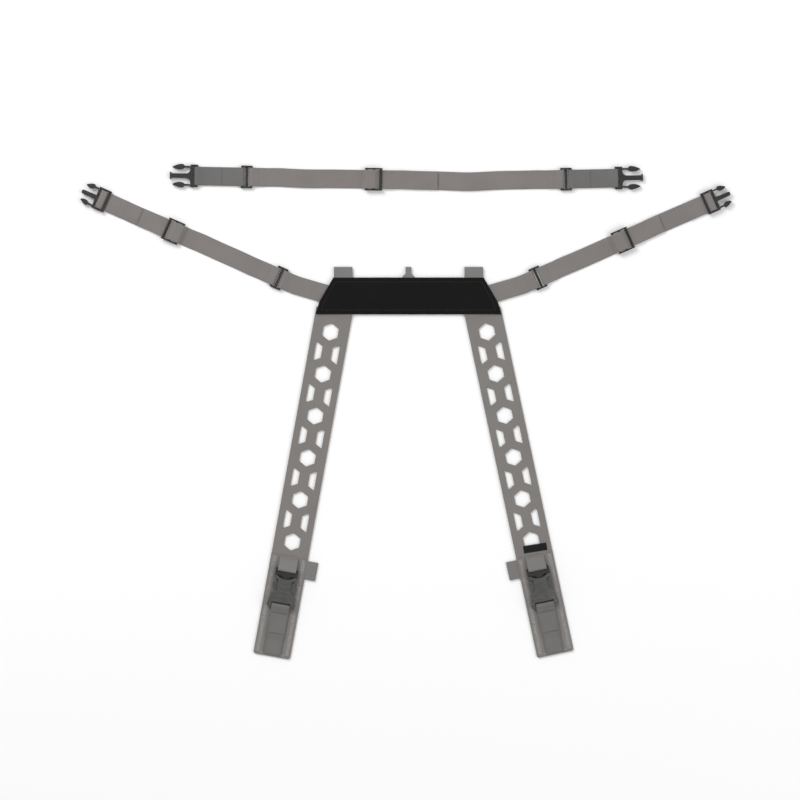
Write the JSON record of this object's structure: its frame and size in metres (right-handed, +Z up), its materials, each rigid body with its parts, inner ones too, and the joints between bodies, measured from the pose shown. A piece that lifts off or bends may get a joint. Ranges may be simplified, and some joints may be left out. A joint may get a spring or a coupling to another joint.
{
  "type": "binocular harness",
  "caption": "Flat-laid binocular harness: padded black yoke, hexagon-cut shoulder straps ending in latch pads, adjustable side straps, and a separate top strap with release buckles.",
  "frame": {"origin": "middle of the yoke's back face, on the surface the harness lies on", "axes": "+X along the yoke, +Y from the shoulder straps towards the top strap, +Z up off the surface"},
  "size_m": [0.8914, 0.6781, 0.0113],
  "materials": {
    "yoke_fabric": "matte woven black",
    "strap_laminate": "smooth coated laminate",
    "grey_webbing": "woven",
    "hidden_webbing": "woven",
    "label_fabric": "fine woven satin",
    "black_plastic": "fine moulded grain"
  },
  "bodies": {
    "yoke": {"yoke_front_panel": "yoke_fabric", "yoke_back_panel": "yoke_fabric", "sewn_in_ends": "hidden_webbing", "top_tabs": "grey_webbing", "hang_loop": "grey_webbing"},
    "strap_left": {"shoulder_strap_left": "strap_laminate"},
    "pad_left": {"pad_front_left": "strap_laminate", "pad_back_left": "strap_laminate", "side_loop_left": "grey_webbing", "latch_tab_left": "grey_webbing", "latch_male_left": "black_plastic", "latch_female_left": "black_plastic", "lower_web_left": "grey_webbing"},
    "latch_left_prong_a": {"latch_prong_a_left": "black_plastic"},
    "latch_left_prong_b": {"latch_prong_b_left": "black_plastic"},
    "strap_right": {"shoulder_strap_right": "strap_laminate", "blank_label": "label_fabric"},
    "pad_right": {"pad_front_right": "strap_laminate", "pad_back_right": "strap_laminate", "side_loop_right": "grey_webbing", "latch_tab_right": "grey_webbing", "latch_male_right": "black_plastic", "latch_female_right": "black_plastic", "lower_web_right": "grey_webbing"},
    "latch_right_prong_a": {"latch_prong_a_right": "black_plastic"},
    "latch_right_prong_b": {"latch_prong_b_right": "black_plastic"},
    "side_anchor_left": {"anchor_web_left": "grey_webbing"},
    "side_connector_left": {"connector_left": "black_plastic"},
    "side_run_left": {"adjust_web_left": "grey_webbing"},
    "side_adjuster_left": {"adjuster_left": "black_plastic", "buckle_web_left": "grey_webbing"},
    "side_buckle_left": {"buckle_loop_left": "grey_webbing", "buckle_male_left": "black_plastic"},
    "side_buckle_left_prong_a": {"buckle_prong_a_left": "black_plastic"},
    "side_buckle_left_prong_b": {"buckle_prong_b_left": "black_plastic"},
    "side_anchor_right": {"anchor_web_right": "grey_webbing"},
    "side_connector_right": {"connector_right": "black_plastic"},
    "side_run_right": {"adjust_web_right": "grey_webbing"},
    "side_adjuster_right": {"adjuster_right": "black_plastic", "buckle_web_right": "grey_webbing"},
    "side_buckle_right": {"buckle_loop_right": "grey_webbing", "buckle_male_right": "black_plastic"},
    "side_buckle_right_prong_a": {"buckle_prong_a_right": "black_plastic"},
    "side_buckle_right_prong_b": {"buckle_prong_b_right": "black_plastic"},
    "top_run": {"top_web_left": "grey_webbing"},
    "top_adjuster": {"top_adjuster": "black_plastic", "top_web_right": "grey_webbing"},
    "top_connector_left": {"top_connector_left": "black_plastic"},
    "top_band_left": {"top_band_left": "grey_webbing"},
    "top_buckle_left": {"top_male_left": "black_plastic"},
    "top_buckle_left_prong_a": {"top_prong_a_left": "black_plastic"},
    "top_buckle_left_prong_b": {"top_prong_b_left": "black_plastic"},
    "top_connector_right": {"top_connector_right": "black_plastic"},
    "top_band_right": {"top_band_right": "grey_webbing"},
    "top_buckle_right": {"top_male_right": "black_plastic"},
    "top_buckle_right_prong_a": {"top_prong_a_right": "black_plastic"},
    "top_buckle_right_prong_b": {"top_prong_b_right": "black_plastic"}
  },
  "joints": [
    {"name": "strap_fold_left", "type": "hinge", "parent": "yoke", "child": "strap_left", "pos_m": [-0.1027, -0.0266, 0.0015], "axis": [-1, 0, 0], "range_deg": [0, 90]},
    {"name": "pad_fold_left", "type": "hinge", "parent": "strap_left", "child": "pad_left", "pos_m": [-0.16238, -0.35502, 0.0015], "axis": [0.9839, -0.1788, 0], "range_deg": [-75, 75]},
    {"name": "latch_left_press_a", "type": "hinge", "parent": "pad_left", "child": "latch_left_prong_a", "pos_m": [-0.15562, -0.38715, 0.0072], "axis": [0, 0, -1], "range_deg": [0, 12], "stiffness_Nm_per_rad": 0.02},
    {"name": "latch_left_press_b", "type": "hinge", "parent": "pad_left", "child": "latch_left_prong_b", "pos_m": [-0.18002, -0.38271, 0.0072], "axis": [0, 0, 1], "range_deg": [0, 12], "stiffness_Nm_per_rad": 0.02},
    {"name": "strap_fold_right", "type": "hinge", "parent": "yoke", "child": "strap_right", "pos_m": [0.1027, -0.0266, 0.0015], "axis": [-1, 0, 0], "range_deg": [0, 90]},
    {"name": "pad_fold_right", "type": "hinge", "parent": "strap_right", "child": "pad_right", "pos_m": [0.1721, -0.35311, 0.0015], "axis": [0.9781, 0.2079, 0], "range_deg": [-75, 75]},
    {"name": "latch_right_press_a", "type": "hinge", "parent": "pad_right", "child": "latch_right_prong_a", "pos_m": [0.19055, -0.38026, 0.0072], "axis": [0, 0, -1], "range_deg": [0, 12], "stiffness_Nm_per_rad": 0.02},
    {"name": "latch_right_press_b", "type": "hinge", "parent": "pad_right", "child": "latch_right_prong_b", "pos_m": [0.16629, -0.38542, 0.0072], "axis": [0, 0, 1], "range_deg": [0, 12], "stiffness_Nm_per_rad": 0.02},
    {"name": "side_fold_left", "type": "hinge", "parent": "yoke", "child": "side_anchor_left", "pos_m": [-0.11655, 0.0038, 0.00195], "axis": [0.5012, 0.8653, 0], "range_deg": [0, 60]},
    {"name": "connector_turn_left", "type": "hinge", "parent": "side_anchor_left", "child": "side_connector_left", "pos_m": [-0.17139, 0.02213, 0.003], "axis": [-0.4035, -0.915, 0], "range_deg": [-45, 45]},
    {"name": "run_turn_left", "type": "hinge", "parent": "side_connector_left", "child": "side_run_left", "pos_m": [-0.18274, 0.02713, 0.003], "axis": [0.4035, 0.915, 0], "range_deg": [-45, 45]},
    {"name": "adjust_left", "type": "slide", "parent": "side_run_left", "child": "side_adjuster_left", "axis": [-0.915, 0.4035, 0], "range_m": [-0.05, 0.025], "deforming": ["adjust_web_left"]},
    {"name": "buckle_turn_left", "type": "hinge", "parent": "side_adjuster_left", "child": "side_buckle_left", "pos_m": [-0.40873, 0.12681, 0.00135], "axis": [-0.4035, -0.915, 0], "range_deg": [-75, 75]},
    {"name": "side_buckle_left_press_a", "type": "hinge", "parent": "side_buckle_left", "child": "side_buckle_left_prong_a", "pos_m": [-0.43451, 0.12462, 0.0044], "axis": [0, 0, -1], "range_deg": [0, 12], "stiffness_Nm_per_rad": 0.02},
    {"name": "side_buckle_left_press_b", "type": "hinge", "parent": "side_buckle_left", "child": "side_buckle_left_prong_b", "pos_m": [-0.4245, 0.14732, 0.0044], "axis": [0, 0, 1], "range_deg": [0, 12], "stiffness_Nm_per_rad": 0.02},
    {"name": "side_fold_right", "type": "hinge", "parent": "yoke", "child": "side_anchor_right", "pos_m": [0.11655, 0.0038, 0.00195], "axis": [0.5012, -0.8653, 0], "range_deg": [0, 60]},
    {"name": "connector_turn_right", "type": "hinge", "parent": "side_anchor_right", "child": "side_connector_right", "pos_m": [0.17139, 0.02213, 0.003], "axis": [-0.4035, 0.915, 0], "range_deg": [-45, 45]},
    {"name": "run_turn_right", "type": "hinge", "parent": "side_connector_right", "child": "side_run_right", "pos_m": [0.18274, 0.02713, 0.003], "axis": [0.4035, -0.915, 0], "range_deg": [-45, 45]},
    {"name": "adjust_right", "type": "slide", "parent": "side_run_right", "child": "side_adjuster_right", "axis": [0.915, 0.4035, 0], "range_m": [-0.05, 0.025], "deforming": ["adjust_web_right"]},
    {"name": "buckle_turn_right", "type": "hinge", "parent": "side_adjuster_right", "child": "side_buckle_right", "pos_m": [0.40196, 0.12382, 0.00135], "axis": [-0.4035, 0.915, 0], "range_deg": [-75, 75]},
    {"name": "side_buckle_right_press_a", "type": "hinge", "parent": "side_buckle_right", "child": "side_buckle_right_prong_a", "pos_m": [0.41773, 0.14433, 0.0044], "axis": [0, 0, -1], "range_deg": [0, 12], "stiffness_Nm_per_rad": 0.02},
    {"name": "side_buckle_right_press_b", "type": "hinge", "parent": "side_buckle_right", "child": "side_buckle_right_prong_b", "pos_m": [0.42774, 0.12164, 0.0044], "axis": [0, 0, 1], "range_deg": [0, 12], "stiffness_Nm_per_rad": 0.02},
    {"name": "top_strap_lift", "type": "slide", "parent": "yoke", "child": "top_run", "axis": [0, 0, 1], "range_m": [0, 0.1]},
    {"name": "top_adjust", "type": "slide", "parent": "top_run", "child": "top_adjuster", "axis": [0.9998, -0.0192, 0], "range_m": [-0.06, 0.06], "deforming": ["top_web_left"]},
    {"name": "top_connector_turn_left", "type": "hinge", "parent": "top_run", "child": "top_connector_left", "pos_m": [-0.21527, 0.16282, 0.003], "axis": [-0.0192, -0.9998, 0], "range_deg": [-45, 45]},
    {"name": "top_band_turn_left", "type": "hinge", "parent": "top_connector_left", "child": "top_band_left", "pos_m": [-0.22767, 0.16306, 0.003], "axis": [0.0192, 0.9998, 0], "range_deg": [-45, 45]},
    {"name": "top_buckle_turn_left", "type": "hinge", "parent": "top_band_left", "child": "top_buckle_left", "pos_m": [-0.29025, 0.16426, 0.003], "axis": [-0.0192, -0.9998, 0], "range_deg": [-60, 60]},
    {"name": "top_buckle_left_press_a", "type": "hinge", "parent": "top_buckle_left", "child": "top_buckle_left_prong_a", "pos_m": [-0.30039, 0.15205, 0.003], "axis": [0, 0, -1], "range_deg": [0, 12], "stiffness_Nm_per_rad": 0.02},
    {"name": "top_buckle_left_press_b", "type": "hinge", "parent": "top_buckle_left", "child": "top_buckle_left_prong_b", "pos_m": [-0.29991, 0.17685, 0.003], "axis": [0, 0, 1], "range_deg": [0, 12], "stiffness_Nm_per_rad": 0.02},
    {"name": "top_connector_turn_right", "type": "hinge", "parent": "top_adjuster", "child": "top_connector_right", "pos_m": [0.20955, 0.15973, 0.003], "axis": [-0.0209, 0.9998, 0], "range_deg": [-45, 45]},
    {"name": "top_band_turn_right", "type": "hinge", "parent": "top_connector_right", "child": "top_band_right", "pos_m": [0.22195, 0.15999, 0.003], "axis": [0.0209, -0.9998, 0], "range_deg": [-45, 45]},
    {"name": "top_buckle_turn_right", "type": "hinge", "parent": "top_band_right", "child": "top_buckle_right", "pos_m": [0.28453, 0.1613, 0.003], "axis": [-0.0209, 0.9998, 0], "range_deg": [-60, 60]},
    {"name": "top_buckle_right_press_a", "type": "hinge", "parent": "top_buckle_right", "child": "top_buckle_right_prong_a", "pos_m": [0.29417, 0.1739, 0.003], "axis": [0, 0, -1], "range_deg": [0, 12], "stiffness_Nm_per_rad": 0.02},
    {"name": "top_buckle_right_press_b", "type": "hinge", "parent": "top_buckle_right", "child": "top_buckle_right_prong_b", "pos_m": [0.29469, 0.14911, 0.003], "axis": [0, 0, 1], "range_deg": [0, 12], "stiffness_Nm_per_rad": 0.02}
  ],
  "couplings": [
    {"joint": "latch_left_press_b", "follows": "latch_left_press_a", "ratio": 1},
    {"joint": "latch_right_press_b", "follows": "latch_right_press_a", "ratio": 1},
    {"joint": "side_buckle_left_press_b", "follows": "side_buckle_left_press_a", "ratio": 1},
    {"joint": "side_buckle_right_press_b", "follows": "side_buckle_right_press_a", "ratio": 1},
    {"joint": "top_buckle_left_press_b", "follows": "top_buckle_left_press_a", "ratio": 1},
    {"joint": "top_buckle_right_press_b", "follows": "top_buckle_right_press_a", "ratio": 1}
  ]
}
